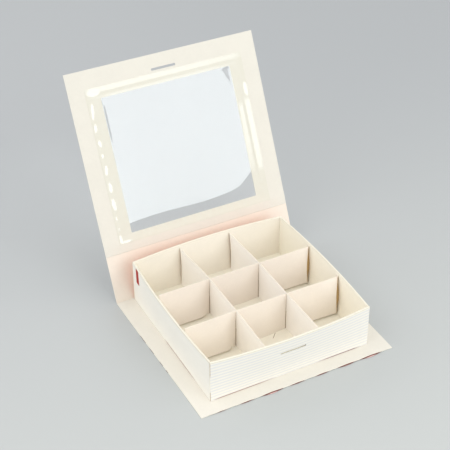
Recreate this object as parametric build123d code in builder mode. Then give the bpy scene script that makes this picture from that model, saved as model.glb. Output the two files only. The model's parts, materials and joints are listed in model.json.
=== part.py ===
from build123d import *
from math import asin, atan2, cos, degrees, hypot, radians, sin, sqrt
import os

# A candy box of thin folded board, lengths in millimetres. A flat cover (base, spine and lid in
# one creased sheet) holds a square tray with turned-over double walls, and slotted strips part
# the tray into cells. The origin is under the tray's middle, on the cover's underside: +X is
# to the right of the tray's front, +Y towards the spine, +Z up.

# Board, film and glue
board = 0.5
strip_board = 0.45
film_thickness = 0.15
glue_thickness = 0.1

# Tray
tray_width = 138.0
tray_depth = 138.0
tray_height = 38.0
front_bow = 4.4  # how far each wall's top edge bulges out at its middle
side_bow = 2.7
rear_bow = 4.3
flap_clearance = 0.08
flap_length = 25.0
flap_drop = 1.5  # from the fold's lower edge down to the flap's top
front_slot_height = 25.0  # above the tray's foot

# Cover
side_margin = 15.5
front_margin = 12.6
rear_margin = 0.9
spine_headroom = 1.5  # how much taller the spine is than the tray
spine_lean_deg = 25.5  # back from upright, as the open box stands
crease_gap = 0.05
window_side_margin = 26.25
window_upper_margin = 24.5
window_rise = 14.0  # from the lid's crease up to the window
window_corner = 1.0
film_side_overlap = 12.2
film_lower_overlap = 7.0
film_upper_overlap = 9.4
tab_slot_length = 22.0
tab_slot_width = 2.0

# Glue
window_glue_width = 5.0
window_glue_inset = 2.0
tray_glue_width = 10.0
tray_glue_inset = 9.0
tray_glue_end_inset = 13.0

# Divider strips
strip_drop = 2.5  # from the walls' top down to the strips' top
strip_end_clearance = 0.2
strip_splay_share = 0.5  # of the least bow: how much further out the strips' ends reach above
strip_foot_relief = 1.0  # how high the rows' bottom edges hang, away from their feet
strip_foot_spread = 3.0  # how far the foot runs past a crossing
slot_clearance = 0.35
lap_clearance = 0.1

# Running clearance between the closing spine and the rear wall
closing_clearance = 0.3

# Wall section: two plies, with room between them for the corner flaps
ply_gap = board + 2 * flap_clearance
wall_thickness = 2 * board + ply_gap
fold_radius = wall_thickness / 2
tray_foot = board + glue_thickness
shoulder = tray_height - fold_radius  # the fold's lower edge, above the tray's foot

# Cover outline
cover_width = tray_width + 2 * side_margin
front_edge = -tray_depth / 2 - front_margin
rear_crease = tray_depth / 2 + rear_margin
spine_height = tray_height + spine_headroom
lid_length = rear_crease - front_edge
window_width = cover_width - 2 * window_side_margin
window_height = lid_length - window_rise - window_upper_margin

# Cells
inner_width = tray_width - 2 * wall_thickness
inner_depth = tray_depth - 2 * wall_thickness
cells_across = 3
strip_height = tray_height - board - strip_drop
strip_splay = strip_splay_share * min(front_bow, side_bow, rear_bow)

right = Axis.X.direction
back = Axis.Y.direction
up = Axis.Z.direction


def save(name, builder):
    """Label a finished piece and write it."""
    builder.part.label = name
    export_step(builder.part, f"parts/{name}.step")


def wall_plane(x, y, along):
    """A wall's own plane at the tray's foot: local X along the wall, local Y into the tray."""
    return Plane(origin=(x, y, tray_foot), x_dir=along, z_dir=up)


walls = {
    "front": (wall_plane(0, -tray_depth / 2, right), tray_width / 2, front_bow),
    "rear": (wall_plane(0, tray_depth / 2, -right), tray_width / 2, rear_bow),
    "left": (wall_plane(-tray_width / 2, 0, -back), tray_depth / 2, side_bow),
    "right": (wall_plane(tray_width / 2, 0, back), tray_depth / 2, side_bow),
}


def bow_radius(half_span, bow):
    """Radius of the arc that bulges by bow over a span."""
    return (half_span**2 + bow**2) / (2 * bow)


def bowed_depth(x, depth, half_span, bow):
    """Local Y of a face that lies depth behind the wall's outer face, at x along the wall."""
    if bow == 0:
        return depth
    radius = bow_radius(half_span, bow)
    return radius - bow - sqrt((radius - depth) ** 2 - x**2)


def ply_edge(points, bow):
    """A long edge of a ply's section: an arc where the ply bows, a line at its straight foot."""
    if bow == 0:
        Line(points[0], points[-1])
    else:
        ThreePointArc(*points)


def ply_faces(wall, height, low, high, near, far):
    """Start, middle and end points of a ply's two faces at a height above the foot."""
    _, half_span, full_bow = wall
    bow = full_bow * height / shoulder
    stations = (low, (low + high) / 2, high)
    return [
        [(x, bowed_depth(x, depth, half_span, bow)) for x in stations] for depth in (near, far)
    ]


def ply_section(wall, height, low, high, near, far):
    """A ply's section at a height above the foot, from low to high along the wall."""
    plane, _, full_bow = wall
    bow = full_bow * height / shoulder
    faces = ply_faces(wall, height, low, high, near, far)
    with BuildSketch(plane.offset(height)) as section:
        with BuildLine():
            for points in faces:
                ply_edge(points, bow)
            Line(faces[0][0], faces[1][0])
            Line(faces[0][-1], faces[1][-1])
        make_face()
    return section.sketch


def bowed_ply(wall, foot, top, span, near, far):
    """A ply between two heights, straight at the tray's foot and bowed more the higher it is."""
    lower = ply_section(wall, foot, *span, near, far)
    upper = ply_section(wall, top, *span, near, far)
    loft([lower, upper], ruled=True)


def turned_fold(wall, reach):
    """The half-round fold along a wall's top, out to reach on each side of its middle."""
    plane, half_span, bow = wall
    radius = bow_radius(half_span, bow)
    top = plane.offset(shoulder)
    across = Plane(origin=top.origin, x_dir=plane.y_dir, z_dir=plane.x_dir)
    middle = (fold_radius - bow, 0)
    with BuildSketch(across) as ring:
        with BuildLine():
            outside = CenterArc(middle, fold_radius, 0, 180)
            inside = CenterArc(middle, fold_radius - board, 0, 180)
            Line(outside @ 0, inside @ 0)
            Line(outside @ 1, inside @ 1)
        make_face()
    centre = top.origin + plane.y_dir * (radius - bow)
    half_turn = degrees(asin(reach / (radius - wall_thickness)))
    revolve(ring.sketch, axis=Axis(centre, up), revolution_arc=half_turn)
    end = Plane(origin=top.origin + plane.x_dir * reach, z_dir=plane.x_dir)
    split(bisect_by=end, keep=Keep.BOTTOM)
    mirror(about=across)


def outer_wall(wall, ply_reach, fold_reach, slot_height=None):
    """A tray wall's outer ply with its turned-over fold, and a tab slot if it has one."""
    plane = wall[0]
    with BuildPart() as piece:
        turned_fold(wall, fold_reach)
        bowed_ply(wall, 0, shoulder, (-ply_reach, ply_reach), 0, board)
        if slot_height is not None:
            facing = Plane(plane.offset(slot_height).origin, x_dir=plane.x_dir, z_dir=-plane.y_dir)
            with BuildSketch(facing):
                SlotOverall(tab_slot_length, tab_slot_width)
            extrude(amount=wall[2] + board, both=True, mode=Mode.SUBTRACT)
    return piece


def inner_wall(wall, reach):
    """The inner ply that hangs from a wall's fold and stands on the tray floor."""
    with BuildPart() as piece:
        span = (-reach, reach)
        bowed_ply(wall, board, shoulder, span, wall_thickness - board, wall_thickness)
    return piece


def flap_section(wall, height, side):
    """A corner flap's section: straight between the plies, then a quarter turn at the corner."""
    bend = side * (wall[1] - board)
    near = board + flap_clearance
    inside, outside = ply_faces(wall, height, bend - side * flap_length, bend, near + board, near)
    corner = inside[-1]
    with BuildSketch(wall[0].offset(height)) as section:
        with BuildLine():
            ThreePointArc(*outside)
            turn = RadiusArc(outside[-1], (corner[0] + side * board, corner[1]), -side * board)
            Line(turn @ 1, corner)
            ThreePointArc(*inside)
            Line(inside[0], outside[0])
        make_face()
    return section.sketch


def corner_flap(wall, side):
    """The side wall's flap, bent round the corner and tucked between this wall's plies."""
    with BuildPart() as piece:
        lower = flap_section(wall, board, side)
        upper = flap_section(wall, shoulder - flap_drop, side)
        loft([lower, upper], ruled=True)
    return piece


def build_tray():
    """The folded tray: floor, four double walls and the flaps inside their corners."""
    with BuildPart() as floor:
        with BuildSketch(Plane.XY.offset(tray_foot)):
            Rectangle(tray_width - 2 * board, tray_depth - 2 * board)
        extrude(amount=board)
    save("tray_floor", floor)

    flap_face = 2 * board + flap_clearance
    for name in ("front", "rear"):
        wall = walls[name]
        half = wall[1]
        slot_height = front_slot_height if name == "front" else None
        save(f"tray_{name}_wall", outer_wall(wall, half, half, slot_height))
        save(f"tray_{name}_inner_wall", inner_wall(wall, half - board))
    for name in ("left", "right"):
        wall = walls[name]
        half = wall[1]
        save(f"tray_{name}_wall", outer_wall(wall, half - flap_face, half - wall_thickness))
        save(f"tray_{name}_inner_wall", inner_wall(wall, half - wall_thickness))

    sides = (("front", "left", -1), ("front", "right", 1), ("rear", "left", 1), ("rear", "right", -1))
    for end, side_name, side in sides:
        save(f"{end}_{side_name}_corner_flap", corner_flap(walls[end], side))


def strip(plane, length, foot, pitch, slots_from_top):
    """A divider strip: ends splayed above, two slots, and a foot if its reach is given."""
    lift = 0 if foot is None else strip_foot_relief
    side = [(length / 2, lift), (length / 2 + strip_splay, strip_height)]
    if foot is not None:
        side = [(foot, 0), (foot, lift)] + side
    outline = side + [(-x, y) for x, y in reversed(side)]
    slot_depth = (strip_height + lap_clearance) / 2
    slot_middle = strip_height - slot_depth / 2 if slots_from_top else slot_depth / 2
    with BuildPart() as piece:
        with BuildSketch(plane):
            with BuildLine():
                Polyline(*outline, close=True)
            make_face()
            with Locations((-pitch, slot_middle), (pitch, slot_middle)):
                Rectangle(strip_board + 2 * slot_clearance, slot_depth, mode=Mode.SUBTRACT)
        extrude(amount=strip_board / 2, both=True)
    return piece


def build_dividers():
    """Four slotted strips that lap at their crossings and part the tray into cells."""
    standing = tray_foot + board
    across = inner_width / (2 * cells_across)
    along = inner_depth / (2 * cells_across)
    row_length = inner_width - 2 * strip_end_clearance
    column_length = inner_depth - 2 * strip_end_clearance
    for name, y in (("front", -along), ("rear", along)):
        plane = Plane(origin=(0, y, standing), x_dir=right, z_dir=-back)
        foot = across + strip_foot_spread
        save(f"divider_{name}_row", strip(plane, row_length, foot, across, True))
    for name, x in (("left", -across), ("right", across)):
        plane = Plane(origin=(x, 0, standing), x_dir=back, z_dir=right)
        save(f"divider_{name}_column", strip(plane, column_length, None, along, False))


def creased_panel(plane, length):
    """A cover panel that starts as a round bead on its crease and rises in its plane."""
    axis_plane = Plane(origin=plane.origin, x_dir=plane.y_dir, z_dir=plane.x_dir)
    with BuildSketch(axis_plane) as bead:
        Circle(board / 2)
    extrude(bead.sketch, amount=cover_width / 2, both=True)
    with BuildSketch(plane.offset(-board / 2)) as panel:
        with Locations((0, length / 2)):
            Rectangle(cover_width, length)
    extrude(panel.sketch, amount=board)


lean = radians(spine_lean_deg)
spine_plane = Plane(
    origin=(0, rear_crease, board / 2), x_dir=right, z_dir=up * sin(lean) - back * cos(lean)
)
lid_plane = Plane(
    origin=spine_plane.origin + spine_plane.y_dir * spine_height,
    x_dir=right,
    z_dir=spine_plane.z_dir,
)


def build_cover():
    """The cover's base, spine and lid, creased where they meet, with the lid's window."""
    panel_end = board / 2 + crease_gap  # where a panel stops short of the next crease

    with BuildPart() as base:
        base_depth = rear_crease - panel_end - front_edge
        with BuildSketch():
            with Locations((0, front_edge + base_depth / 2)):
                Rectangle(cover_width, base_depth)
        extrude(amount=board)
    save("cover_base_panel", base)

    with BuildPart() as spine:
        creased_panel(spine_plane, spine_height - panel_end)
    save("cover_spine_panel", spine)

    with BuildPart() as lid:
        creased_panel(lid_plane, lid_length)
        with BuildSketch(lid_plane):
            with Locations((0, window_rise + window_height / 2)):
                RectangleRounded(window_width, window_height, window_corner)
            with Locations((0, lid_length - window_upper_margin / 2)):
                SlotOverall(tab_slot_length, tab_slot_width)
        extrude(amount=board, both=True, mode=Mode.SUBTRACT)
    save("cover_lid_panel", lid)


def build_window():
    """The film inside the lid's window, and the frame of glue that holds it."""
    film_width = window_width + 2 * film_side_overlap
    film_height = window_height + film_lower_overlap + film_upper_overlap
    film_middle = (0, window_rise - film_lower_overlap + film_height / 2)
    glue_width = film_width - 2 * window_glue_inset
    glue_height = film_height - 2 * window_glue_inset
    with BuildPart() as window_glue:
        with BuildSketch(lid_plane.offset(board / 2)):
            with Locations(film_middle):
                Rectangle(glue_width, glue_height)
                Rectangle(
                    glue_width - 2 * window_glue_width,
                    glue_height - 2 * window_glue_width,
                    mode=Mode.SUBTRACT,
                )
        extrude(amount=glue_thickness)
    save("window_glue", window_glue)

    with BuildPart() as film:
        with BuildSketch(lid_plane.offset(board / 2 + glue_thickness)):
            with Locations(film_middle):
                Rectangle(film_width, film_height)
        extrude(amount=film_thickness)
    save("window_film", film)


def build_tray_glue():
    """The two bands of glue between the cover's base and the tray floor."""
    with BuildPart() as tray_glue:
        strip_middle = (tray_width - tray_glue_width) / 2 - tray_glue_inset
        with BuildSketch(Plane.XY.offset(board)):
            with Locations((-strip_middle, 0), (strip_middle, 0)):
                Rectangle(tray_glue_width, tray_depth - 2 * tray_glue_end_inset)
        extrude(amount=glue_thickness)
    save("tray_glue", tray_glue)


def closed_lean():
    """Lean of the spine, in degrees back from upright, where it nears the bowed rear wall."""
    overhang = rear_bow - rear_margin
    rise = tray_foot + shoulder - board / 2
    standoff = board / 2 + closing_clearance
    return degrees(atan2(overhang, rise) + asin(standoff / hypot(overhang, rise)))


os.makedirs("parts", exist_ok=True)
build_tray()
build_dividers()
build_cover()
build_window()
build_tray_glue()

print("rear crease", tuple(spine_plane.origin))
print("lid crease", tuple(lid_plane.origin))
print("spine range, degrees", spine_lean_deg - 90, spine_lean_deg - closed_lean())
print("lid range, degrees", 0, 90 + closed_lean())
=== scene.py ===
import json
import math

import bmesh
import bpy
from mathutils import Matrix, Vector


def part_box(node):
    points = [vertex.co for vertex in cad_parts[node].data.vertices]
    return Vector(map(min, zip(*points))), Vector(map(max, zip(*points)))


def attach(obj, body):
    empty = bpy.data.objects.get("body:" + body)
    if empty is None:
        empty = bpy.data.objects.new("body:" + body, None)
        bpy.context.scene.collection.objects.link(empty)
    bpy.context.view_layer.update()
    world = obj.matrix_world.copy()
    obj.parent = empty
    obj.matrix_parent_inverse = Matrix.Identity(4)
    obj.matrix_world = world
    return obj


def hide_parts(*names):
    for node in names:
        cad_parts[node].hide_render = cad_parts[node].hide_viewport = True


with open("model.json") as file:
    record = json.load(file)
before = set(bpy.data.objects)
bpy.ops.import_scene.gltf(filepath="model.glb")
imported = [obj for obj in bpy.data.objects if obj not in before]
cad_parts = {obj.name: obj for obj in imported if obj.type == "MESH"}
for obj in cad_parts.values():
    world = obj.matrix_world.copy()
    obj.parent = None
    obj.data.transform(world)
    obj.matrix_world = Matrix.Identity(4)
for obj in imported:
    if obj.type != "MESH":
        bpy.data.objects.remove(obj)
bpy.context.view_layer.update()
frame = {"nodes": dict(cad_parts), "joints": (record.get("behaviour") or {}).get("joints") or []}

# The box stands on the floor with its tray's middle over the origin: +X right, +Y back, +Z up.
MM = 0.001

# Camera, as the photograph sees the box
CAMERA_PLACE = Vector((-362.6, -658.6, 630.8)) * MM
CAMERA_TOWARDS = Vector((0.3757, 0.7226, -0.5802))
CAMERA_ROLL_DEG = -0.32
FOCAL_PIXELS = 1212.3
FRAME_PIXELS = 450
SENSOR_MM = 36
CLIP_NEAR = 10 * MM
CLIP_FAR = 20000 * MM

# Board and strips
BOARD = 0.5 * MM
STRIP_BOARD = 0.45 * MM
BEND_STEP = 4 * MM
SHARP_EDGE_DEG = 35
ARC_STEPS = 6
MERGE_WITHIN = 1e-7  # points nearer than this are one, in metres

# Cover, with the lid measured from its crease
COVER_HALF_WIDTH = 84.5 * MM
LID_LENGTH = 151.5 * MM
PANEL_GAP = 0.3 * MM
WINDOW_LOW = Vector((-58.25, 14.0)) * MM
WINDOW_HIGH = Vector((58.25, 127.0)) * MM
WINDOW_CORNER = 1 * MM
SLOT_LENGTH = 22 * MM
SLOT_WIDTH = 2 * MM
LID_SLOT_MIDDLE = Vector((0, 139.25)) * MM
FRONT_LIFT = 0.35 * MM  # how far the base's front edge stands off the floor
FRONT_LIFT_REACH = 12 * MM
FRONT_WAVE = 0.5 * MM  # and how much more at the strongest of its curls
FRONT_WAVE_HALF = 7.5 * MM
FRONT_CORNER_REACH = 12 * MM  # lift and curls fade out this near the base's sides
# Each curl's place across, in mm, and its strength
FRONT_CURLS = ((-68, 0.3), (-46, 0.45), (-24, 1.0), (-2, 0.5), (20, 0.5), (42, 0.75), (64, 1.0))
CURL_NARROWING = 0.4  # a curl's width goes with its strength to this power
FRONT_PEEL = 1.4 * MM  # how far the ply that carries painted shade and a painted pink reflection stands out of the front edge, where it curls most
PEEL_REACH = 3 * MM
PEEL_DROP = 0.4  # how far that ply drops for each step out
LEFT_NARROWER = 1.6 * MM  # how far the base narrows at its front left corner
LID_BEND = 0.4 * MM  # how far the lid sags inward beside its crease
LID_BEND_FROM = 0.6 * MM  # where the sag starts
LID_BEND_REACH = 13 * MM

# Film behind the window, and its glue
FILM_LOW = Vector((-70.45, 7.0)) * MM
FILM_HIGH = Vector((70.45, 136.4)) * MM
FILM_THICKNESS = 0.15 * MM
GLUE_THICKNESS = 0.1 * MM
FILM_STEP = 3 * MM

joints = {joint["name"]: joint for joint in frame["joints"]}
BASE_CREASE = Vector(joints["base_spine_crease"]["pos_m"])
LID_CREASE = Vector(joints["spine_lid_crease"]["pos_m"])
SPINE_HEIGHT = (LID_CREASE - BASE_CREASE).length
RIGHT = Vector((1, 0, 0))
BACK = Vector((0, 1, 0))
UP = Vector((0, 0, 1))
COVER_UP = (LID_CREASE - BASE_CREASE).normalized()
COVER_INWARD = RIGHT.cross(COVER_UP)
COVER_FRONT = -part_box("cover_base_panel")[0].y  # from the tray's middle to the base's front edge


def make_camera():
    data = bpy.data.cameras.new("camera")
    data.sensor_width = SENSOR_MM
    data.lens = FOCAL_PIXELS / FRAME_PIXELS * SENSOR_MM
    data.clip_start = CLIP_NEAR
    data.clip_end = CLIP_FAR
    camera = bpy.data.objects.new("camera", data)
    bpy.context.scene.collection.objects.link(camera)
    turn = CAMERA_TOWARDS.to_track_quat("-Z", "Y").to_matrix().to_4x4()
    roll = Matrix.Rotation(math.radians(CAMERA_ROLL_DEG), 4, "Z")
    camera.matrix_world = Matrix.Translation(CAMERA_PLACE) @ turn @ roll
    bpy.context.scene.camera = camera


# Materials

FILM_HAZE_SIZE = 9 * MM
FILM_INDEX = 1.6
FILM_ROUGHNESS = 0.0
FILM_CLEARNESS = 0.93
FILM_SHINE = 1.0


class Field:
    """A number that varies over a surface, so that sums of it read as they do on paper."""

    def __init__(self, tree, socket):
        self.tree = tree
        self.socket = socket

    def combine(self, operation, *terms):
        made = self.tree.nodes.new("ShaderNodeMath")
        made.operation = operation
        for socket, term in zip(made.inputs, terms):
            if isinstance(term, Field):
                self.tree.links.new(term.socket, socket)
            else:
                socket.default_value = term
        return Field(self.tree, made.outputs[0])

    def __add__(self, other):
        return self.combine("ADD", self, other)

    def __sub__(self, other):
        return self.combine("SUBTRACT", self, other)

    def __rsub__(self, other):
        return self.combine("SUBTRACT", other, self)

    def __mul__(self, other):
        return self.combine("MULTIPLY", self, other)

    def __truediv__(self, other):
        return self.combine("DIVIDE", self, other)

    def __abs__(self):
        return self.combine("ABSOLUTE", self)

    def part(self):
        """What is left over the last whole number."""
        return self.combine("FRACT", self)

    def most(self, other):
        return self.combine("MAXIMUM", self, other)

    def root(self):
        return self.combine("SQRT", self)

    def rise(self, low, high):
        """0 below low, 1 above high, and smooth between."""
        made = self.tree.nodes.new("ShaderNodeMapRange")
        made.interpolation_type = "SMOOTHSTEP"
        self.tree.links.new(self.socket, made.inputs["Value"])
        made.inputs["From Min"].default_value = low
        made.inputs["From Max"].default_value = high
        return Field(self.tree, made.outputs["Result"])

    def fall(self, low, high):
        """1 below low, 0 above high, and smooth between."""
        return 1 - self.rise(low, high)


def srgb(red, green, blue):
    """A colour named as it shows on a screen, 0 to 255, in the renderer's linear light."""
    shares = [channel / 255 for channel in (red, green, blue)]
    return [s / 12.92 if s <= 0.04045 else ((s + 0.055) / 1.055) ** 2.4 for s in shares]


def object_place(tree):
    return tree.nodes.new("ShaderNodeTexCoord").outputs["Object"]


def along(tree, direction, origin=(0, 0, 0)):
    """How far each point lies from origin in a direction, in metres."""
    dot = tree.nodes.new("ShaderNodeVectorMath")
    dot.operation = "DOT_PRODUCT"
    tree.links.new(object_place(tree), dot.inputs[0])
    dot.inputs[1].default_value = direction
    return Field(tree, dot.outputs["Value"]) - Vector(origin).dot(direction)


def facing(tree, direction):
    """How far the surface faces a direction, from -1 to 1."""
    dot = tree.nodes.new("ShaderNodeVectorMath")
    dot.operation = "DOT_PRODUCT"
    coordinates = tree.nodes.new("ShaderNodeTexCoord")
    tree.links.new(coordinates.outputs["Normal"], dot.inputs[0])
    dot.inputs[1].default_value = direction
    return Field(tree, dot.outputs["Value"])


def cloud(tree, size, detail=2.0):
    """Noise about a half, with lumps of a given size."""
    noise = tree.nodes.new("ShaderNodeTexNoise")
    tree.links.new(object_place(tree), noise.inputs["Vector"])
    noise.inputs["Scale"].default_value = 1 / size
    noise.inputs["Detail"].default_value = detail
    return Field(tree, noise.outputs["Fac"])


MIX_UNDER, MIX_OVER, MIX_RESULT = 6, 7, 2  # the colour sockets of a mix node


def mix(tree, share, under, over):
    """One colour over another, each a socket or three numbers."""
    made = tree.nodes.new("ShaderNodeMix")
    made.data_type = "RGBA"
    tree.links.new(share.socket, made.inputs["Factor"])
    for socket, colour in ((made.inputs[MIX_UNDER], under), (made.inputs[MIX_OVER], over)):
        if isinstance(colour, bpy.types.NodeSocket):
            tree.links.new(colour, socket)
        else:
            socket.default_value = (*colour, 1)
    return made.outputs[MIX_RESULT]


def new_material(name):
    material = bpy.data.materials.new(name)
    material.use_nodes = True
    return material, material.node_tree, material.node_tree.nodes["Principled BSDF"]


PULP_SIZE = 17 * MM
PULP_SHARE = 0.6
SPECKLE_SIZE = 2.4 * MM
SPECKLE_SHARE = 0.4
FIBRE_SIZE = 0.45 * MM
PULP_RANGE = (0.35, 0.65)
PULP_DARKER = 0.975
FIBRE_RELIEF = 0.035 * MM
FIBRE_BUMP = 0.35
PAPER_SHINE = 0.35
PAPER_ROUGHNESS = 0.62
PAPER_ROUGHNESS_RANGE = 0.16


def paper(name, colour, print_and_painted_light=None):
    """Thin board: cloudy pulp, fine fibres that break up the gloss, and any print, painted light and
    painted shade over them.
    """
    material, tree, surface = new_material(name)
    pulp = cloud(tree, PULP_SIZE, detail=3) * PULP_SHARE
    pulp = pulp + cloud(tree, SPECKLE_SIZE) * SPECKLE_SHARE
    fibre = cloud(tree, FIBRE_SIZE, detail=3)
    darker = [channel * PULP_DARKER for channel in colour]
    face = mix(tree, pulp.rise(*PULP_RANGE), darker, colour)
    if print_and_painted_light:
        face = print_and_painted_light(tree, face)
    tree.links.new(face, surface.inputs["Base Color"])
    grain = fibre * PAPER_ROUGHNESS_RANGE + (PAPER_ROUGHNESS - PAPER_ROUGHNESS_RANGE / 2)
    tree.links.new(grain.socket, surface.inputs["Roughness"])
    surface.inputs["Specular IOR Level"].default_value = PAPER_SHINE
    bump = tree.nodes.new("ShaderNodeBump")
    bump.inputs["Strength"].default_value = FIBRE_BUMP
    bump.inputs["Distance"].default_value = FIBRE_RELIEF
    tree.links.new(fibre.socket, bump.inputs["Height"])
    tree.links.new(bump.outputs["Normal"], surface.inputs["Normal"])
    return material


COVER_INSIDE = srgb(233, 228, 217)
# painted light: the spine's inside is the lid's board, made lighter and pinker where pink light from the
# red rear wall falls
SPINE_INSIDE_PAINTED_LIGHT = srgb(242, 231, 218)
COVER_OUTSIDE = srgb(229, 227, 220)
CUT_EDGE = srgb(244, 240, 226)
TRAY_INSIDE = srgb(253, 248, 233)
# painted shade: a darker copy of the tray's board for the turned fold at the walls' tops
TRAY_FOLD_PAINTED_SHADE = srgb(238, 232, 216)
TRAY_OUTSIDE = srgb(250, 246, 236)
# painted light: the left wall's outside is the tray's outside board, made lighter
TRAY_SIDE_PAINTED_LIGHT = srgb(254, 251, 242)
# painted shade: the rear inner ply is the tray's inside board, made darker
REAR_PLY_PAINTED_SHADE = srgb(247, 240, 227)
# painted shade and painted light: the rows take a darker, pinker copy of the divider board and the
# columns a lighter one
ROW_FACE_PAINTED_SHADE = srgb(243, 233, 222)
COLUMN_FACE_PAINTED_LIGHT = srgb(254, 249, 242)
DIVIDER_EDGE = srgb(245, 237, 222)
# painted shade: the dark colour of the strips' bent-back ends, where they meet the walls
TUCK_PAINTED_SHADE = srgb(186, 154, 104)
# painted shade: dark lines on the rows where they meet the columns
SLOT_PAINTED_SHADE = srgb(128, 98, 68)
STRIPE_INK = srgb(237, 235, 232)
COVER_STRIPE_INK = srgb(213, 212, 214)
RED_INK = srgb(178, 34, 28)
# painted shade: the dark line along the walls' feet
FOOT_PAINTED_SHADE = srgb(160, 112, 92)
# red print in painted shade, under the base's front and left edges
RED_PRINT_IN_PAINTED_SHADE = srgb(114, 64, 54)
# painted pink reflection, on the peeled ply under the base's front edge
PAINTED_PINK_REFLECTION = srgb(234, 194, 188)
UNDER_INK = srgb(214, 44, 38)
# painted shade: the dark seam at the front wall's left corner
SEAM_PAINTED_SHADE = srgb(176, 152, 122)
# painted shade with a painted red reflection along the front wall's foot
FOOT_PAINTED_SHADE_AND_RED_REFLECTION = srgb(130, 60, 50)
SALMON_INK = srgb(255, 188, 152)
# painted shade: the dark line along the floor's crease
CREASE_PAINTED_SHADE = srgb(150, 128, 104)
FILM_TINT = srgb(252, 253, 254)
FILM_WHITE = srgb(255, 255, 255)
DRIED_GLUE_DARK = srgb(226, 220, 204)
DRIED_GLUE_PALE = srgb(240, 236, 224)
BEAD_GLUE_PALE = srgb(250, 249, 243)


# Prints, and painted light and shade

STRIPE_PITCH = 2.85 * MM
STRIPE_SHARE = 0.5
STRIPE_SOFT = 0.09  # of a pitch
INK_SOFT = 0.25 * MM
RED_PITCH = 22 * MM
RED_START = -2 * MM
RED_HALF = (7.5 * MM, 7 * MM)
RED_CORNER = 4.5 * MM
PEEL_PAINTED_SHADE = (0.12 * MM, 0.28 * MM)  # over these steps out, the peeled ply turns to red print in painted shade
PEEL_PAINTED_REFLECTION = (0.7 * MM, 1.1 * MM)  # and over these to a painted pink reflection
LEFT_MARKS = ((19, 5), (3, 4), (-14, 3), (-24, 2))  # on the base's left edge: place, half length in mm
LEFT_MARK_REACH = 3 * MM
LEFT_MARK_CORNER = 0.8 * MM
TRAY_FOOT = 0.6 * MM
FOLD_FOOT = 37.0 * MM  # height at which the walls' turned folds begin
FOLD_FADE = 0.6 * MM
PRINT_FADE = 0.5 * MM
FACING_OUT = (0.3, 0.6)  # a face that looks outward by more than this takes the outside's print
FOOT_LINE = 0.7 * MM
FRONT_FOOT_LEFT = ((-68, -60), (-30, -10))  # where a foot line fades in and out, in mm
FRONT_FOOT_RIGHT = ((20, 36), (56, 64))
SIDE_FOOT = ((-52, -30), (4, 12))
SEAM_SHADE_FROM = -68.6 * MM  # painted shade of the seam at the front wall's left corner runs out from here,
SEAM_SHADE_BELOW = (8 * MM, 10 * MM)  # below these heights
SEAM_SHADE_ABOVE = (23 * MM, 27 * MM)  # and above these
MARK_MIDDLE = (58.5 * MM, 30 * MM)
MARK_HALF = (3 * MM, 7.5 * MM)
MARK_CORNER = 1.2 * MM
CREASE_FROM = (12.1 * MM, -23.8 * MM)
CREASE_TO = (6.5 * MM, -29.7 * MM)
CREASE_TAPER = (1 * MM, 2 * MM)
CREASE_HALF_WIDTH = 0.3 * MM
SLOT_SHADE_FROM = 0.42 * MM  # from a column's middle
SLOT_SHADE_TO = 0.78 * MM
SLOT_SHADE_SOFT = 0.1 * MM
SLOT_SHADE_FADE = (22 * MM, 36 * MM)  # over these heights the painted shade fades out


def pinstripes(tree, face, height, colour=STRIPE_INK):
    """Level printed lines, soft at their edges as ink is."""
    across = abs((height / STRIPE_PITCH).part() - 0.5)
    ink = across.fall(STRIPE_SHARE / 2 - STRIPE_SOFT, STRIPE_SHARE / 2 + STRIPE_SOFT)
    return mix(tree, ink, face, colour)


def bar_mask(across, up, middle, half, corner):
    """1 on a bar with round corners, from its middle and half sizes, and 0 off it."""
    wide = (abs(across - middle[0]) - (half[0] - corner)).most(0)
    high = (abs(up - middle[1]) - (half[1] - corner)).most(0)
    reach = (wide * wide + high * high).root()
    return reach.fall(corner - INK_SOFT, corner)


def span(place, fades):
    """1 between a fade in and a fade out, which are in mm, and 0 outside them."""
    (in_from, in_to), (out_from, out_to) = fades
    return place.rise(in_from * MM, in_to * MM) * place.fall(out_from * MM, out_to * MM)


def red_dashes(tree, face, across, in_from_edge):
    """A row of red bars along a free edge, which they run over."""
    step = ((across - RED_START) / RED_PITCH + 0.5).part() - 0.5
    ink = bar_mask(step * RED_PITCH, in_from_edge, (0, 0), RED_HALF, RED_CORNER)
    return mix(tree, ink, face, UNDER_INK)


def base_print(tree, face):
    """The print under the base."""
    depth = along(tree, BACK)
    striped = pinstripes(tree, face, depth, COVER_STRIPE_INK)
    return red_dashes(tree, striped, along(tree, RIGHT), depth + COVER_FRONT)


def upright_print(tree, face):
    """The print on the back of the spine and the lid, which lie in one plane."""
    height = along(tree, COVER_UP, LID_CREASE)
    striped = pinstripes(tree, face, height, COVER_STRIPE_INK)
    return red_dashes(tree, striped, along(tree, RIGHT), LID_LENGTH - height)


def base_edge_print_and_painted_shade(tree, face):
    """Red print in painted shade and a painted pink reflection on the ply that peels out of the base's
    front edge, and marks of red print in painted shade on its left edge.
    """
    across = along(tree, RIGHT)
    depth = along(tree, BACK)
    peeled = -COVER_FRONT - depth
    face = mix(tree, peeled.rise(*PEEL_PAINTED_SHADE), face, RED_PRINT_IN_PAINTED_SHADE)
    face = mix(tree, peeled.rise(*PEEL_PAINTED_REFLECTION), face, PAINTED_PINK_REFLECTION)
    for at, half_length in LEFT_MARKS:
        half = (half_length * MM, LEFT_MARK_REACH)
        ink = bar_mask(depth - at * MM, across + COVER_HALF_WIDTH, (0, 0), half, LEFT_MARK_CORNER)
        face = mix(tree, ink, face, RED_PRINT_IN_PAINTED_SHADE)
    return face


def fold_painted_shade(tree, face):
    """Painted shade along the turned fold at the walls' tops."""
    return mix(tree, along(tree, UP).rise(FOLD_FOOT, FOLD_FOOT + FOLD_FADE), face, TRAY_FOLD_PAINTED_SHADE)


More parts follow.
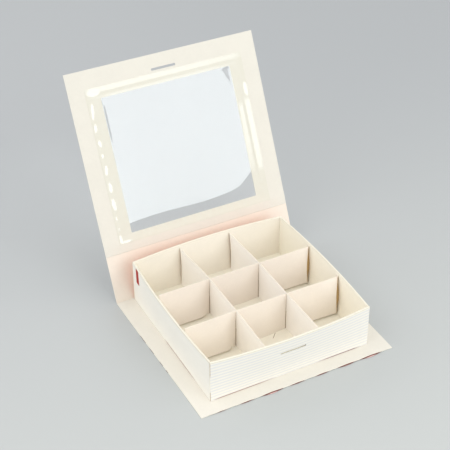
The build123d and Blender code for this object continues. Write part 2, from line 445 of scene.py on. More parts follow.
def below_fold(tree):
    return along(tree, UP).fall(FOLD_FOOT, FOLD_FOOT + PRINT_FADE)


def foot_line(tree):
    """1 along the foot of a wall, where shade is painted."""
    return along(tree, UP).fall(TRAY_FOOT + FOOT_LINE / 2, TRAY_FOOT + FOOT_LINE)


def front_wall_print_and_painted_shade(tree, face):
    """Pinstripes up to the fold, painted shade along the seam at the left corner, and painted shade with
    a painted red reflection along the foot.
    """
    face = fold_painted_shade(tree, face)
    height = along(tree, UP)
    across = along(tree, RIGHT)
    outside = facing(tree, -BACK).rise(*FACING_OUT) * below_fold(tree)
    face = mix(tree, outside, face, pinstripes(tree, face, height))
    # painted shade along the seam at the left corner, low down and high up
    corner = across.fall(SEAM_SHADE_FROM - PRINT_FADE, SEAM_SHADE_FROM) * below_fold(tree)
    painted_shade_mark = corner * (height.fall(*SEAM_SHADE_BELOW) + height.rise(*SEAM_SHADE_ABOVE))
    face = mix(tree, painted_shade_mark, face, SEAM_PAINTED_SHADE)
    # painted shade, and a painted red reflection, along the foot
    face = mix(tree, foot_line(tree) * span(across, FRONT_FOOT_LEFT), face, FOOT_PAINTED_SHADE)
    return mix(tree, foot_line(tree) * span(across, FRONT_FOOT_RIGHT), face, FOOT_PAINTED_SHADE_AND_RED_REFLECTION)


def rear_wall_print_and_painted_shade(tree, face):
    """Salmon print on the outside, up to the fold, and painted shade along the fold."""
    face = fold_painted_shade(tree, face)
    outside = facing(tree, BACK).rise(*FACING_OUT) * below_fold(tree)
    return mix(tree, outside, face, SALMON_INK)


def left_wall_print_and_painted_shade(tree, face):
    """A plain red bar near the rear corner, and a line of painted shade at the foot."""
    face = fold_painted_shade(tree, face)
    depth = along(tree, BACK)
    face = mix(tree, foot_line(tree) * span(depth, SIDE_FOOT), face, FOOT_PAINTED_SHADE)
    ink = bar_mask(depth, along(tree, UP), MARK_MIDDLE, MARK_HALF, MARK_CORNER)
    return mix(tree, ink * facing(tree, -RIGHT).rise(*FACING_OUT), face, RED_INK)


def floor_crease(tree, face):
    """Painted shade along a short crease across the front middle cell's floor."""
    run = Vector((CREASE_TO[0] - CREASE_FROM[0], CREASE_TO[1] - CREASE_FROM[1], 0))
    ahead = run.normalized()
    aside = UP.cross(ahead)
    start = (*CREASE_FROM, 0)
    along_it = along(tree, ahead, start)
    off_it = abs(along(tree, aside, start))
    within = along_it.rise(0, CREASE_TAPER[0]) * along_it.fall(run.length - CREASE_TAPER[1], run.length)
    ink = off_it.fall(CREASE_HALF_WIDTH / 2, CREASE_HALF_WIDTH) * within
    return mix(tree, ink, face, CREASE_PAINTED_SHADE)


def clear_plastic(name):
    """Clear film with faint clouding. Its faces are smooth enough to mirror the lamps."""
    material, tree, surface = new_material(name)
    haze = cloud(tree, FILM_HAZE_SIZE)
    tree.links.new(mix(tree, haze, FILM_TINT, FILM_WHITE), surface.inputs["Base Color"])
    surface.inputs["Roughness"].default_value = FILM_ROUGHNESS
    surface.inputs["Transmission Weight"].default_value = FILM_CLEARNESS
    surface.inputs["IOR"].default_value = FILM_INDEX
    surface.inputs["Specular IOR Level"].default_value = FILM_SHINE
    return material


def paint_shade_by_slots(tree, face):
    """Thin lines of painted shade on the rows beside the columns, fading out towards the top."""
    across = along(tree, RIGHT)
    for node in ("divider_left_column", "divider_right_column"):
        low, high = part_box(node)
        off = abs(across - (low.x + high.x) / 2)
        ink = off.rise(SLOT_SHADE_FROM - SLOT_SHADE_SOFT, SLOT_SHADE_FROM)
        ink = ink * off.fall(SLOT_SHADE_TO, SLOT_SHADE_TO + SLOT_SHADE_SOFT)
        ink = ink * along(tree, UP).fall(*SLOT_SHADE_FADE)
        face = mix(tree, ink, face, SLOT_PAINTED_SHADE)
    return face


DRIED_LUMP_SIZE = 3 * MM
DRIED_ROUGHNESS = 0.4


def dried_glue(name):
    material, tree, surface = new_material(name)
    face = mix(tree, cloud(tree, DRIED_LUMP_SIZE, detail=3), DRIED_GLUE_DARK, DRIED_GLUE_PALE)
    tree.links.new(face, surface.inputs["Base Color"])
    surface.inputs["Roughness"].default_value = DRIED_ROUGHNESS
    return material


BEAD_LUMP_SIZE = 4 * MM
BEAD_ROUGHNESS = 0.12
BEAD_SHINE = 0.6
BEAD_COAT = 0.5
BEAD_COAT_ROUGHNESS = 0.08


def bead_glue(name):
    """Glue under the film: the board shows through it, and it shines."""
    material, tree, surface = new_material(name)
    face = mix(tree, cloud(tree, BEAD_LUMP_SIZE), COVER_INSIDE, BEAD_GLUE_PALE)
    tree.links.new(face, surface.inputs["Base Color"])
    surface.inputs["Roughness"].default_value = BEAD_ROUGHNESS
    surface.inputs["Specular IOR Level"].default_value = BEAD_SHINE
    surface.inputs["Coat Weight"].default_value = BEAD_COAT
    surface.inputs["Coat Roughness"].default_value = BEAD_COAT_ROUGHNESS
    return material


# Sheets

def quarter_arc(centre, radius, start_deg):
    angles = [math.radians(start_deg + 90 * k / ARC_STEPS) for k in range(ARC_STEPS + 1)]
    return [(centre[0] + radius * math.cos(a), centre[1] + radius * math.sin(a)) for a in angles]


def rectangle(low, high, corner=0):
    """A rectangle's outline, anticlockwise, with round corners if asked."""
    if not corner:
        return [(low[0], low[1]), (high[0], low[1]), (high[0], high[1]), (low[0], high[1])]
    left, bottom = low[0] + corner, low[1] + corner
    right, top = high[0] - corner, high[1] - corner
    points = quarter_arc((right, bottom), corner, -90)
    points += quarter_arc((right, top), corner, 0)
    points += quarter_arc((left, top), corner, 90)
    points += quarter_arc((left, bottom), corner, 180)
    return points


SLOT_FLAT = 0.01 * MM  # half the flat at a slot's end, which keeps its corners' points apart


def slot_outline(middle, length, width):
    half = Vector((length, width)) / 2
    return rectangle(Vector(middle) - half, Vector(middle) + half, width / 2 - SLOT_FLAT)


def divide(flat, axis, cuts):
    """Cuts a flat mesh across one axis."""
    for cut in cuts:
        place, normal = [0, 0, 0], [0, 0, 0]
        place[axis], normal[axis] = cut, 1
        geometry = flat.verts[:] + flat.edges[:] + flat.faces[:]
        bmesh.ops.bisect_plane(
            flat, geom=geometry, plane_co=place, plane_no=normal, dist=MERGE_WITHIN
        )


def even_cuts(values, step):
    """Cuts that part the values' range into even steps, no longer than step."""
    low, high = min(values), max(values)
    count = math.ceil((high - low) / step)
    return [low + (high - low) * k / count for k in range(1, count)]


def finish_mesh(name, shape, materials):
    mesh = bpy.data.meshes.new(name)
    shape.to_mesh(mesh)
    shape.free()
    for material in materials:
        mesh.materials.append(material)
    for face in mesh.polygons:
        face.use_smooth = True
    mesh.set_sharp_from_angle(angle=math.radians(SHARP_EDGE_DEG))
    piece = bpy.data.objects.new(name, mesh)
    bpy.context.scene.collection.objects.link(piece)
    return piece


def cut_sheet(
    name, outline, holes, place, materials,
    step=BEND_STEP, extra_columns=(), extra_rows=(), choose=None,
):
    """A sheet cut to an outline with holes, then bent.

    place(u, v, side) gives the point on its front (side 1) or back (side -1). The sheet bends at
    even steps, and at the extra columns and rows. The materials are those of the front, the back
    and the cut edge, unless choose(u, v, side) picks a face's by place.
    """
    flat = bmesh.new()
    for loop in [outline, *holes]:
        corners = [flat.verts.new((u, v, 0)) for u, v in loop]
        for here, there in zip(corners, corners[1:] + corners[:1]):
            flat.edges.new((here, there))
    bmesh.ops.triangle_fill(flat, use_beauty=True, edges=flat.edges[:], normal=(0, 0, 1))
    divide(flat, 0, even_cuts([u for u, _ in outline], step) + list(extra_columns))
    divide(flat, 1, even_cuts([v for _, v in outline], step) + list(extra_rows))
    bmesh.ops.recalc_face_normals(flat, faces=flat.faces)
    flat.faces.ensure_lookup_table()
    if flat.faces[0].normal.z < 0:
        bmesh.ops.reverse_faces(flat, faces=flat.faces)
    flat.verts.index_update()

    solid = bmesh.new()
    front = [solid.verts.new(place(v.co.x, v.co.y, 1)) for v in flat.verts]
    back = [solid.verts.new(place(v.co.x, v.co.y, -1)) for v in flat.verts]
    for face in flat.faces:
        loop = [vertex.index for vertex in face.verts]
        centre = face.calc_center_median()
        picked = [choose(centre.x, centre.y, side) for side in (1, -1)] if choose else (0, 1)
        solid.faces.new([front[i] for i in loop]).material_index = picked[0]
        solid.faces.new([back[i] for i in reversed(loop)]).material_index = picked[1]
    for edge in flat.edges:
        if edge.is_boundary:
            here = edge.link_loops[0].vert.index
            there = edge.link_loops[0].link_loop_next.vert.index
            rim = solid.faces.new([front[there], front[here], back[here], back[there]])
            rim.material_index = len(materials) - 1
    flat.free()
    bmesh.ops.remove_doubles(solid, verts=solid.verts, dist=MERGE_WITHIN)
    bmesh.ops.dissolve_degenerate(solid, edges=solid.edges, dist=MERGE_WITHIN)
    return finish_mesh(name, solid, materials)


def stand_for(piece, node, body):
    """The piece is drawn in place of a node and rides on a body."""
    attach(piece, body)
    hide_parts(node)


# Cover

def smooth(share):
    """0 below 0, 1 above 1, and smooth between."""
    share = min(max(share, 0), 1)
    return share * share * (3 - 2 * share)


def crease_half(v):
    """Half the board's thickness, which rounds off before a crease."""
    radius = BOARD / 2
    return radius if v >= 0 else math.sqrt(max(radius * radius - v * v, 0))


CREASE_CUTS = [-BOARD / 2 * math.cos(math.radians(angle)) for angle in (22.5, 45, 67.5, 90)]


def lid_sag(v):
    """How far the lid leans inward near its crease, before the board straightens."""
    share = min(max((v - LID_BEND_FROM) / LID_BEND_REACH, 0), 1)
    return LID_BEND * math.sin(math.pi * share) ** 2


def lid_point(u, v, height):
    return LID_CREASE + RIGHT * u + COVER_UP * v + COVER_INWARD * (height + lid_sag(v))


def lid_board(u, v, side):
    return lid_point(u, v, side * crease_half(v))


def spine_board(u, v, side):
    return BASE_CREASE + RIGHT * u + COVER_UP * v + COVER_INWARD * side * crease_half(v)


def front_curl(u):
    """How strongly the base's front edge curls: 1 at the strongest of its curls."""
    curl = 0
    for at, strength in FRONT_CURLS:
        half = FRONT_WAVE_HALF * strength**CURL_NARROWING
        curl += strength * math.exp(-(((u - at * MM) / half) ** 2))
    return curl


def front_lift(u):
    """How far the base's front edge stands off the floor, in shallow curls."""
    return FRONT_LIFT + FRONT_WAVE * front_curl(u)


def base_board(u, v, side):
    """The base lifts along its front edge, where its lower ply also peels out a little, carrying painted
    shade and a painted pink reflection.
    """
    ahead = smooth((-v - (COVER_FRONT - FRONT_LIFT_REACH)) / FRONT_LIFT_REACH)
    corner = smooth((COVER_HALF_WIDTH - abs(u)) / FRONT_CORNER_REACH)
    height = BOARD / 2 * (1 + side) + front_lift(u) * ahead * ahead * corner
    if side < 0:
        peel = FRONT_PEEL * front_curl(u) * smooth((-v - COVER_FRONT + PEEL_REACH) / PEEL_REACH)
        v -= peel
        height -= min(height, PEEL_DROP * peel)
    if u < 0:
        narrower = LEFT_NARROWER * smooth((BASE_CREASE.y - v) / (BASE_CREASE.y + COVER_FRONT))
        u -= narrower * u / COVER_HALF_WIDTH
    return Vector((u, v, height))


def make_cover():
    inside = paper("cover_inside", COVER_INSIDE)
    edge = paper("cover_cut_edge", CUT_EDGE)
    upright = paper("cover_outside", COVER_OUTSIDE, upright_print)
    underside = paper("cover_underside", COVER_OUTSIDE, base_print)
    edge_print_and_painted_shade = paper("base_cut_edge", CUT_EDGE, base_edge_print_and_painted_shade)
    start = -BOARD / 2

    outline = rectangle((-COVER_HALF_WIDTH, start), (COVER_HALF_WIDTH, LID_LENGTH))
    holes = [
        rectangle(WINDOW_LOW, WINDOW_HIGH, WINDOW_CORNER),
        slot_outline(LID_SLOT_MIDDLE, SLOT_LENGTH, SLOT_WIDTH),
    ]
    cuts = CREASE_CUTS + [LID_BEND_FROM]
    lid = cut_sheet("lid", outline, holes, lid_board, [inside, upright, edge], extra_rows=cuts)
    stand_for(lid, "cover_lid_panel", "lid")

    outline = rectangle((-COVER_HALF_WIDTH, start), (COVER_HALF_WIDTH, SPINE_HEIGHT - PANEL_GAP))
    # the spine's inside carries painted pink light
    spine_painted_light = paper("spine_inside_painted_light", SPINE_INSIDE_PAINTED_LIGHT)
    spine = cut_sheet("spine", outline, [], spine_board, [spine_painted_light, upright, edge], extra_rows=CREASE_CUTS)
    stand_for(spine, "cover_spine_panel", "spine")

    outline = rectangle((-COVER_HALF_WIDTH, -COVER_FRONT), (COVER_HALF_WIDTH, BASE_CREASE.y - PANEL_GAP))
    base = cut_sheet("base", outline, [], base_board, [inside, underside, edge_print_and_painted_shade])
    stand_for(base, "cover_base_panel", "root")


# Film and glue. The film's shape is in mm on the lid, from its middle and its crease.

FILM_SETTLES = 65.3  # from here out the film lies on the board
FILM_EASE = 2.5
FILM_EASE_SHARES = (-0.2, 0, 0.25, 0.5, 0.75, 1, 1.2)
# Its slope: one long wave across the window, a fall towards the right and a kink near its edge
FILM_SLOPE = 0.00045
WAVE_SLOPE = 0.00185
WAVE_TOP = 22
WAVE_LENGTH = 140
FALL_SLOPE = 0.0039
FALL_FROM = 33
FALL_OVER = 27
FALL_POWER = 1.3
KINK_SLOPE = 0.0078
KINK_FROM = 43.5
KINK_OVER = 13.5
KINK_POWER = 1.4
# A shallow dip inside the window's upper left
DIP_DEPTH = 0.3
DIP_COLUMNS = (0, 0.5, 1.0, 1.5, 2.0, 2.6)
DIP_EASE = 2.6
DIP_WIDTH = 30
DIP_FADE = 27
DIP_FOOT = 76
DIP_RISE = 22
DIP_HEAD = 9
# A strained triangle in its upper right corner
STRAIN_DEPTH = 0.85
STRAIN_COLUMNS = (0, 0.6, 1.2, 1.8, 2.4, 4.0, 6.0, 8.0)
STRAIN_FROM = 50.2
STRAIN_ACROSS = 8
STRAIN_DOWN = 18
STRAIN_EASE = 2.4


def film_slope(u):
    """How steeply the film lies back beside the window's lower edge."""
    wave = FILM_SLOPE + WAVE_SLOPE * math.cos(2 * math.pi * (u - WAVE_TOP) / WAVE_LENGTH)
    fall = FALL_SLOPE * max(0, (u - FALL_FROM) / FALL_OVER) ** FALL_POWER
    kink = KINK_SLOPE * max(0, (u - KINK_FROM) / KINK_OVER) ** KINK_POWER
    return wave - fall - kink


def film_height(u, v):
    """Height of the film over the board: almost flat, with a dip and a strained upper corner."""
    left, right = WINDOW_LOW.x / MM, WINDOW_HIGH.x / MM
    low, high = WINDOW_LOW.y / MM, WINDOW_HIGH.y / MM
    u, v = u / MM, v / MM
    inner = min(max(u, left), right)
    arch = (high - low) / math.pi * math.sin(math.pi * min(max((v - low) / (high - low), 0), 1))
    height = -film_slope(inner) * arch
    dip = smooth((inner - left) / DIP_EASE) * smooth((left + DIP_WIDTH - inner) / DIP_FADE)
    height -= DIP_DEPTH * dip * smooth((v - DIP_FOOT) / DIP_RISE) * smooth((high - v) / DIP_HEAD)
    strain = max((inner - STRAIN_FROM) / STRAIN_ACROSS - (high - v) / STRAIN_DOWN, 0)
    strain *= smooth((right - u) / STRAIN_EASE) * smooth((high - v) / STRAIN_EASE)
    height -= STRAIN_DEPTH * strain
    return height * MM * smooth((FILM_SETTLES - abs(u)) / FILM_EASE)


def film_point(u, v, side):
    height = BOARD / 2 + GLUE_THICKNESS + FILM_THICKNESS / 2 * (1 + side)
    return lid_point(u, v, height + film_height(u, v))


def over_window(u, v, side):
    """0, for the clear film, in the window and 1, for the bonded film, off it."""
    inside = WINDOW_LOW.x < u < WINDOW_HIGH.x and WINDOW_LOW.y < v < WINDOW_HIGH.y
    return 0 if inside else 1


# Where glue holds the film taut over the board, in mm on the lid: the patch's middle, its half size,
# its slant and how smooth the film is there, from 0 to 1
TAUT = (
    ((-67.6, 118.0), (1.3, 6.6), -0.14, 1.0),
    ((-68.2, 104.4), (1.3, 3.4), -0.1, 1.0),
    ((-67.6, 91.6), (1.4, 3.2), 0.12, 1.0),
    ((-67.9, 81.4), (1.1, 1.9), 0.0, 1.0),
    ((-67.4, 69.2), (1.5, 4.2), -0.12, 1.0),
    ((-67.3, 54.7), (1.6, 4.6), 0.0, 1.0),
    ((-67.7, 40.6), (1.7, 5.2), 0.06, 1.0),
    ((-68.4, 28.8), (0.8, 1.8), 0.0, 1.0),
    ((-68.4, 19.0), (0.9, 2.6), 0.0, 1.0),
    ((-68.6, 11.0), (1.2, 4.0), 0.0, 1.0),
    ((-64.6, 8.3), (5.0, 1.0), 0.0, 1.0),
    ((0.0, 134.2), (70.0, 2.1), 0.0, 0.65),
    ((-63.5, 132.6), (5.6, 3.2), 0.0, 0.85),
    ((0.0, 128.0), (58.5, 0.9), 0.0, 0.6),
    ((68.6, 105.0), (1.8, 6.0), 0.02, 0.95),
    ((67.9, 66.0), (2.6, 31.0), 0.01, 0.85),
    ((60.8, 65.0), (2.1, 29.0), -0.02, 0.75),
)
TAUT_SOFT = 0.5 * MM
BAND_LENGTH = 6  # a patch that is longer than this many widths is a band with square ends
BONDED_FACE = srgb(229, 226, 214)
BONDED_DULLER = srgb(225, 220, 205)
BONDED_HAZE_SIZE = 5 * MM
BONDED_ROUGHNESS = 0.5
BONDED_CLOUDING = 0.06
BONDED_SHINE = 0.3
TAUT_SMOOTHER = 0.44
TAUT_SHINIER = 0.6


def taut_mask(tree):
    """1 where the film lies taut on glue, and 0 where it only lies on the board."""
    across = along(tree, RIGHT, LID_CREASE)
    height = along(tree, COVER_UP, LID_CREASE)
    mask = None
    for middle, half, slant, strength in TAUT:
        up = height - middle[1] * MM
        aside = across - middle[0] * MM + up * slant
        wide = aside / (half[0] * MM)
        high = up / (half[1] * MM)
        if min(half) * BAND_LENGTH < max(half):
            wide, high = abs(wide), abs(high)
            reach = wide.most(high)
        else:
            reach = (wide * wide + high * high).root()
        soft = TAUT_SOFT / (min(half) * MM)
        bar = reach.fall(1 - soft / 2, 1 + soft / 2) * strength
        mask = bar if mask is None else mask.most(bar)
    return mask


def bonded_film(name):
    """The film on the board: board-coloured and dull, but mirror-smooth where glue holds it taut."""
    material, tree, surface = new_material(name)
    mask = taut_mask(tree)
    haze = cloud(tree, BONDED_HAZE_SIZE)
    rough = BONDED_ROUGHNESS - mask * TAUT_SMOOTHER + (haze - 0.5) * BONDED_CLOUDING
    tree.links.new(rough.socket, surface.inputs["Roughness"])
    shine = mask * TAUT_SHINIER + BONDED_SHINE
    tree.links.new(shine.socket, surface.inputs["Specular IOR Level"])
    tree.links.new(mix(tree, haze, BONDED_DULLER, BONDED_FACE), surface.inputs["Base Color"])
    surface.inputs["IOR"].default_value = FILM_INDEX
    return material


def make_film():
    clear = clear_plastic("film_clear")
    film = cut_sheet(
        "window_film_sheet",
        rectangle(FILM_LOW, FILM_HIGH),
        [],
        film_point,
        [clear, bonded_film("film_bonded")],
        step=FILM_STEP,
        extra_columns=[WINDOW_HIGH.x - in_from_it * MM for in_from_it in STRAIN_COLUMNS]
        + [WINDOW_LOW.x + in_from_it * MM for in_from_it in DIP_COLUMNS]
        + [(FILM_SETTLES - share * FILM_EASE) * MM for share in FILM_EASE_SHARES],
        extra_rows=[WINDOW_LOW.y]
        + [WINDOW_HIGH.y - share * STRAIN_EASE * MM for share in (1, 0.5, 0)],
        choose=over_window,
    )
    film.visible_shadow = False
    stand_for(film, "window_film", "lid")


BEAD_HEIGHT = 0.09 * MM
BEAD_HALF_WIDTH_MM = 2.2  # no bead is wider than twice this
BEAD_MIDDLE = 0.25  # over this share of its rings, from its middle, a bead spreads to its length
BEAD_RINGS = 5
BEAD_SIDES = 28


def bead(shape, middle, half_length, half_width, turn_deg):
    """A low round-ended pad of glue on the lid's inner face."""
    turn = math.radians(turn_deg)
    ahead = Vector((-math.sin(turn), math.cos(turn)))
    aside = Vector((math.cos(turn), math.sin(turn)))
    rings = []
    for ring in range(BEAD_RINGS + 1):
        share = ring / BEAD_RINGS
        height = BOARD / 2 + BEAD_HEIGHT * (1 - share**4)
        points = []
        for step in range(BEAD_SIDES):
            angle = 2 * math.pi * step / BEAD_SIDES
            straight = (half_length - half_width) * (1 if math.sin(angle) >= 0 else -1)
            up_it = straight * min(1, share / BEAD_MIDDLE) + half_width * share * math.sin(angle)
            spot = Vector(middle) + ahead * up_it + aside * half_width * share * math.cos(angle)
            points.append(shape.verts.new(lid_point(spot.x, spot.y, height)))
        rings.append(points)
    for inner, outer in zip(rings, rings[1:]):
        for k in range(BEAD_SIDES):
            j = (k + 1) % BEAD_SIDES
            shape.faces.new([inner[k], outer[k], outer[j], inner[j]])
    shape.faces.new(list(reversed(rings[-1])))


def make_glue():
    """A bead of glue under each taut patch of the film."""
    shape = bmesh.new()
    for middle, half, slant, _ in TAUT:
        turn = math.degrees(slant)
        if half[0] > half[1]:
            half, turn = half[::-1], turn + 90
        half_width = min(half[0], BEAD_HALF_WIDTH_MM)
        bead(shape, Vector(middle) * MM, half[1] * MM, half_width * MM, turn)
    bmesh.ops.remove_doubles(shape, verts=shape.verts, dist=MERGE_WITHIN)
    glue = finish_mesh("window_glue_beads", shape, [bead_glue("bead_glue")])
    stand_for(glue, "window_glue", "lid")


# Divider strips

STRIP_LIFT = 1.5 * MM  # the rows' feet are cut this much higher in the side cells
FOOT_CLEAR = 0.1 * MM
FOOT_EASE = 10 * MM  # past a crossing, the rows' feet swing out over this length
FOOT_SPREAD = 3.0 * MM
FOOT_LIP = 3.4 * MM  # a row's foot curls back by this much in the side cells
FOOT_LIP_HEIGHT = 0.6 * MM
SLOT_GAP = 0.25 * MM
LAP_GAP = 0.1 * MM
STRIP_STEP = 3 * MM
WALL_FOOT = 67.34 * MM  # from the tray's middle to its walls' inner faces, at the strips' feet
END_EASE = 12 * MM
CURL_REACH = 22 * MM
TUCK = 4 * MM  # the paper left over at the right and rear ends, bent back along the wall
TUCK_RADIUS = 0.5 * MM
TUCK_LEAST_BEND = 0.9  # the cosine of the least angle it is bent by
TUCK_SLANT = 6 * MM  # how much lower a column's bent end is cut at its tip
TUCK_COLUMNS = [past * MM for past in (0, 0.15, 0.3, 0.45, 0.6, 0.8, 1.5, 2.5, 3.3)]
FOOT_ROWS = [above * MM for above in (0.3, 0.6, 1.0)]


class Strip:
    """One divider strip, from its node's box.

    All else is in mm, for the front or left end and then for the rear or right one. Its feet and
    heads lean, and its foot bulges in the middle cell. It stands off the walls, which lean too, by
    gaps at the foot, halfway up and at the head. The rear or right end swells by curl, and is bent
    back along the wall.
    """

    def __init__(self, node, feet, heads, bulge, leans, gaps, curl=0):
        self.node = node
        low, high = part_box(node)
        self.row = node.endswith("row")
        axis, cross = (0, 1) if self.row else (1, 0)
        self.end = high[axis]
        self.line = (low[cross] + high[cross]) / 2
        self.foot, self.top = low.z, high.z
        self.feet, self.heads = feet, heads
        self.bulge = bulge
        self.leans = leans
        self.gaps = gaps
        self.curl = curl
        other_low, other_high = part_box("divider_right_column" if self.row else "divider_rear_row")
        self.pitch = (other_low[axis] + other_high[axis]) / 2

    def push(self, at, level, end):
        """How far the paper stands off its line."""
        past = abs(at) - self.pitch
        beyond = smooth(past / (self.end - self.pitch))
        below = smooth(past / FOOT_EASE) if self.row else beyond
        pushed = (self.feet[end] * (1 - level) * below + self.heads[end] * level * beyond) * MM
        if abs(at) < self.pitch:
            pushed += self.bulge * MM * math.cos(math.pi * at / (2 * self.pitch)) * (1 - level)
        return pushed

    def curled_under(self, at, level):
        """How far a row's foot is curled under, in the side cells: 0 to 1."""
        if not self.row:
            return 0
        curl = max(0, 1 - (level * (self.top - self.foot) - STRIP_LIFT) / FOOT_LIP_HEIGHT)
        return curl * smooth((abs(at) - self.pitch - FOOT_SPREAD) / FOOT_SPREAD)

    def point(self, at, height, side):
        """The place of a point on the strip's face, from how far along and how high it lies."""
        level = min(max((height - self.foot) / (self.top - self.foot), 0), 1)
        sign, end = (1, 1) if at > 0 else (-1, 0)
        low, middle, high = self.gaps[end]
        arch = math.sin(math.pi * level)
        gap = (low + (high - low) * level + (middle - (low + high) / 2) * arch) * MM
        fold = WALL_FOOT + self.leans[end] * level * MM - gap
        short = self.end - fold
        reach = min(abs(at), self.end)
        reach -= short * smooth((reach - self.end + END_EASE) / END_EASE)
        under = self.curled_under(at, level)
        height -= (STRIP_LIFT - FOOT_CLEAR) * under
        aside = self.push(at, level, end) + FOOT_LIP * under
        aside -= self.curl * MM * end * arch * smooth((abs(at) - self.end + CURL_REACH) / CURL_REACH)
        bent = 0
        if abs(at) > self.end:
            over = abs(at) - self.end
            share = (gap - TUCK_RADIUS) / (TUCK - 2 * TUCK_RADIUS)
            most = math.acos(min(max(share, 0), TUCK_LEAST_BEND))
            bent = min(over / TUCK_RADIUS, most)
            straight = over - bent * TUCK_RADIUS
            reach = fold + TUCK_RADIUS * math.sin(bent) + straight * math.cos(bent)
            aside += TUCK_RADIUS * (1 - math.cos(bent)) + straight * math.sin(bent)
        half = side * STRIP_BOARD / 2
        if self.row:
            reach += half * math.sin(bent)
            return Vector((sign * reach, self.line + aside - half * math.cos(bent), height))
        reach -= half * math.sin(bent)
        return Vector((self.line + aside + half * math.cos(bent), sign * reach, height))

    def painted_shade_mark(self, at, height, side):
        """1 on the bent-back end's outer face, which carries painted shade, and 0 off it."""
        outer = 1 if self.row else -1
        return 1 if at > self.end and side == outer else 0

    def outline(self):
        """The strip's edge, anticlockwise, with its slots cut from above or below."""
        slot = STRIP_BOARD / 2 + SLOT_GAP
        depth = (self.top - self.foot + LAP_GAP) / 2
        lift = self.foot + (STRIP_LIFT if self.row else 0)
        tip = self.end + TUCK
        points = [(-self.end, lift)]
        if self.row:
            reach = self.pitch + FOOT_SPREAD
            points += [(-reach, lift), (-reach, self.foot), (reach, self.foot), (reach, lift)]
        else:
            for middle in (-self.pitch, self.pitch):
                points += [(middle - slot, self.foot), (middle - slot, self.foot + depth)]
                points += [(middle + slot, self.foot + depth), (middle + slot, self.foot)]
        slant = 0 if self.row else TUCK_SLANT
        points += [(tip, lift), (tip, self.top - slant), (self.end, self.top)]
        if self.row:
            for middle in (self.pitch, -self.pitch):
                points += [(middle + slot, self.top), (middle + slot, self.top - depth)]
                points += [(middle - slot, self.top - depth), (middle - slot, self.top)]
        return points + [(-self.end, self.top)]


# Gaps between a strip's end and the wall, in mm: at the foot, halfway up and at the head
SNUG = (0.2, 0.6, 1.0)
SHORT = (0.3, 1.4, 2.6)
LOOSE = (0.3, 2.3, 0.5)
LOOSER = (0.3, 3.4, 0.8)
# How far the walls lean out beside the strips, in mm: left and right, and front and rear
SIDE_WALL_LEANS = (2.3, 2.3)
END_WALL_LEANS = (3.7, 3.6)


def make_strips():
    # the rows carry painted shade and the columns painted light
    row_painted_shade = paper("divider_row_face_painted_shade", ROW_FACE_PAINTED_SHADE, paint_shade_by_slots)
    column_painted_light = paper("divider_column_face_painted_light", COLUMN_FACE_PAINTED_LIGHT)
    # the bent-back ends' outer faces carry painted shade
    painted_shade_mark = paper("divider_tuck_painted_shade", TUCK_PAINTED_SHADE)
    edge = paper("divider_cut_edge", DIVIDER_EDGE)
    strips = (
        Strip(
            "divider_front_row", feet=(-5.0, -5.0), heads=(-0.6, -0.4), bulge=-1.8,
            leans=SIDE_WALL_LEANS, gaps=(SHORT, LOOSER), curl=3.2,
        ),
        Strip(
            "divider_rear_row", feet=(-4.6, -4.4), heads=(0, 0), bulge=-1.2,
            leans=SIDE_WALL_LEANS, gaps=(SHORT, LOOSER), curl=2.6,
        ),
        Strip(
            "divider_left_column", feet=(-0.8, -4.2), heads=(-0.8, -2.9), bulge=-0.8,
            leans=END_WALL_LEANS, gaps=(SNUG, LOOSE),
        ),
        Strip(
            "divider_right_column", feet=(0.3, -2.4), heads=(0.4, -1.8), bulge=-0.8,
            leans=END_WALL_LEANS, gaps=(SNUG, LOOSE),
        ),
    )
    for strip in strips:
        name = strip.node.replace("divider", "strip")
        lift = strip.foot + STRIP_LIFT
        piece = cut_sheet(
            name,
            strip.outline(),
            [],
            strip.point,
            [row_painted_shade if strip.row else column_painted_light, painted_shade_mark, edge],
            step=STRIP_STEP,
            extra_columns=[strip.end + past for past in TUCK_COLUMNS],
            extra_rows=[lift + above for above in FOOT_ROWS] if strip.row else [],
            choose=strip.painted_shade_mark,
        )
        stand_for(piece, strip.node, "root")


# Tray

def make_tray():
    """The tray's own solids, each with its finish."""
    plain = paper("tray_inside", TRAY_INSIDE)
    finishes = {
        "tray_floor": paper("tray_floor_board", TRAY_INSIDE, floor_crease),
        "tray_front_wall": paper("striped_board", TRAY_OUTSIDE, front_wall_print_and_painted_shade),
        "tray_rear_wall": paper("red_printed_board", TRAY_INSIDE, rear_wall_print_and_painted_shade),
        # the left wall's outside carries painted light
        "tray_left_wall": paper("marked_board", TRAY_SIDE_PAINTED_LIGHT, left_wall_print_and_painted_shade),
        "tray_right_wall": paper("tray_outside", TRAY_OUTSIDE, fold_painted_shade),
        # the rear inner ply takes the darker copy: painted shade
        "tray_rear_inner_wall": paper("tray_rear_inside_painted_shade", REAR_PLY_PAINTED_SHADE),
        "tray_glue": dried_glue("tray_glue_bands"),
    }
    for name, node in frame["nodes"].items():
        if name.startswith("tray_") or name.endswith("_flap"):
            node.data.materials.clear()
            node.data.materials.append(finishes.get(name, plain))


# Surroundings

BACKDROP = srgb(196, 199, 201)
FLOOR_DARKER = srgb(177, 180, 182)
FLOOR_LIGHTER = srgb(197, 200, 198)
FLOOR_HALF = 15000 * MM
FLOOR_ROUGHNESS = 0.4
FLOOR_SHINE = 0.5
FLOOR_LIGHTER_TOWARDS = Vector((-0.1, -0.995, 0))
FLOOR_LIGHTER_RANGE = (-0.4, 0.35)  # from here to here, in metres from the tray's middle
WORLD_LIGHT = 0.84


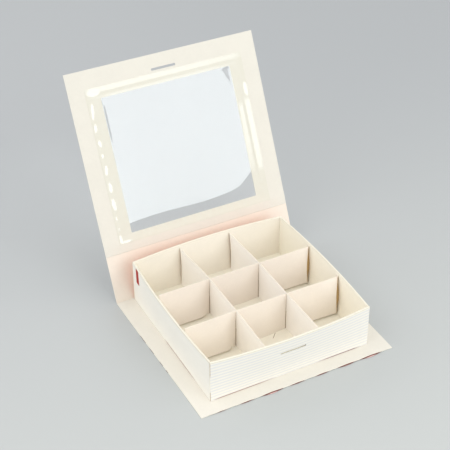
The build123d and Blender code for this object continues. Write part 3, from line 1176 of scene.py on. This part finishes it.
def make_floor():
    """A plain pale floor, with painted light that makes it a little lighter towards the front."""
    shape = bmesh.new()
    corners = rectangle((-FLOOR_HALF, -FLOOR_HALF), (FLOOR_HALF, FLOOR_HALF))
    shape.faces.new([shape.verts.new((x, y, 0)) for x, y in corners])
    material, tree, surface = new_material("floor_surface")
    # painted light: the floor's colour grows lighter towards the front
    near = along(tree, FLOOR_LIGHTER_TOWARDS)
    face = mix(tree, near.rise(*FLOOR_LIGHTER_RANGE), FLOOR_DARKER, FLOOR_LIGHTER)
    tree.links.new(face, surface.inputs["Base Color"])
    surface.inputs["Roughness"].default_value = FLOOR_ROUGHNESS
    surface.inputs["Specular IOR Level"].default_value = FLOOR_SHINE
    floor = finish_mesh("floor", shape, [material])


def make_world():
    """Low light from all round, and the floor's own grey where the backdrop is seen."""
    world = bpy.data.worlds.new("surroundings")
    bpy.context.scene.world = world
    world.use_nodes = True
    tree = world.node_tree
    output = tree.nodes["World Output"]
    light = tree.nodes["Background"]
    light.inputs["Color"].default_value = (1, 1, 1, 1)
    light.inputs["Strength"].default_value = WORLD_LIGHT
    seen = tree.nodes.new("ShaderNodeBackground")
    seen.inputs["Color"].default_value = (*BACKDROP, 1)
    path = tree.nodes.new("ShaderNodeLightPath")
    camera = Field(tree, path.outputs["Is Camera Ray"])
    through = Field(tree, path.outputs["Is Transmission Ray"])
    mirrored = Field(tree, path.outputs["Is Glossy Ray"])
    either = tree.nodes.new("ShaderNodeMixShader")
    tree.links.new(camera.most(through).most(mirrored).socket, either.inputs[0])
    tree.links.new(light.outputs[0], either.inputs[1])
    tree.links.new(seen.outputs[0], either.inputs[2])
    tree.links.new(either.outputs[0], output.inputs["Surface"])


AIM = Vector((0, 0, 50)) * MM
KEY_TINT = (0.95, 1, 0.99)
FILL = {"distance": 1.8, "width": 1.3, "height": 1.1}  # in metres


def softbox(name, azimuth_deg, elevation_deg, distance, width, height, brightness, tint=(1, 1, 1)):
    """A rectangular lamp aimed at the box. Azimuth 0 is in front, and positive is to the left."""
    azimuth, elevation = math.radians(azimuth_deg), math.radians(elevation_deg)
    level = Vector((-math.sin(azimuth), -math.cos(azimuth), 0)) * math.cos(elevation)
    place = (level + UP * math.sin(elevation)) * distance + AIM
    lamp = bpy.data.lights.new(name, "AREA")
    lamp.shape = "RECTANGLE"
    lamp.size, lamp.size_y = width, height
    lamp.energy = brightness * math.pi * width * height
    lamp.color = tint
    holder = bpy.data.objects.new(name, lamp)
    bpy.context.scene.collection.objects.link(holder)
    holder.location = place
    holder.rotation_euler = (AIM - place).to_track_quat("-Z", "Y").to_euler()


def make_lamps():
    """The film mirrors the key lamp towards the camera. The others fill in from all round."""
    softbox(
        "key_softbox", azimuth_deg=-15.4, elevation_deg=29.5, distance=1.7, width=0.98, height=0.95,
        brightness=2.9, tint=KEY_TINT,
    )
    softbox("right_softbox", azimuth_deg=-60, elevation_deg=40, brightness=0.7, **FILL)
    softbox("left_softbox", azimuth_deg=80, elevation_deg=50, brightness=1.3, **FILL)
    softbox("rear_left_softbox", azimuth_deg=135, elevation_deg=30, brightness=0.7, **FILL)
    softbox("rear_softbox", azimuth_deg=180, elevation_deg=35, brightness=0.5, **FILL)


make_camera()
make_cover()
make_film()
make_glue()
make_tray()
make_strips()
make_floor()
make_world()
make_lamps()
bpy.context.scene.view_settings.view_transform = "Standard"
